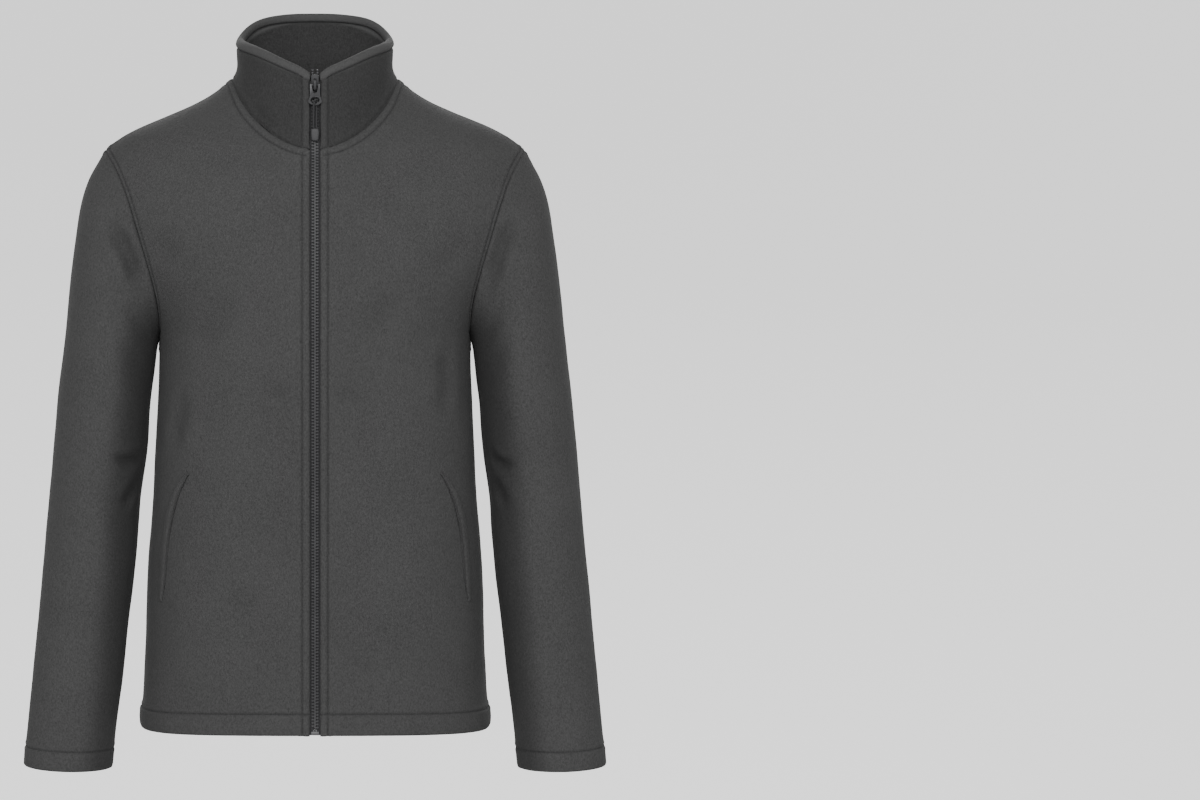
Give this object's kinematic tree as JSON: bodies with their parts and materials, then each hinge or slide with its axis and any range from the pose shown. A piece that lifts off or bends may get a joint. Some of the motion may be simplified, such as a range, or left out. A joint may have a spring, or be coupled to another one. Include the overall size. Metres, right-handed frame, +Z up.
{
  "type": "fleece zip jacket",
  "caption": "Hip-length fleece jacket with a stand collar, full front zip with a corded puller, slanted side pockets and plain hem and cuffs, filled out as worn and hollow.",
  "frame": {"origin": "middle of the neck opening, level with the highest points of the shoulder seams", "axes": "+Z up, -Y the way the zip faces, +X the wearer's left arm"},
  "size_m": [0.6232, 0.2545, 0.8057],
  "materials": {
    "fleece": "charcoal napped fleece",
    "zip_tape": "woven tape",
    "moulded_teeth": "moulded",
    "zip_metal": "satin gunmetal",
    "cord": "braided",
    "moulded_end": "moulded rubber"
  },
  "bodies": {
    "jacket": {"front_left": "fleece", "front_right": "fleece", "back": "fleece", "sleeve_left": "fleece", "sleeve_right": "fleece", "collar": "fleece", "pocket_left": "fleece", "pocket_right": "fleece", "neck_patch": "fleece", "zip_tape_left": "zip_tape", "zip_tape_right": "zip_tape", "zip_teeth_left": "moulded_teeth", "zip_teeth_right": "moulded_teeth", "zip_foot": "zip_metal", "zip_slider": "zip_metal"},
    "puller": {"pull_tab": "zip_metal", "puller_cord": "cord", "puller_end": "moulded_end"}
  },
  "joints": [
    {"name": "pull_tab_swing", "type": "hinge", "parent": "jacket", "child": "puller", "pos_m": [0, -0.0922, -0.008], "axis": [-1, 0, 0], "range_deg": [0, 150]}
  ]
}
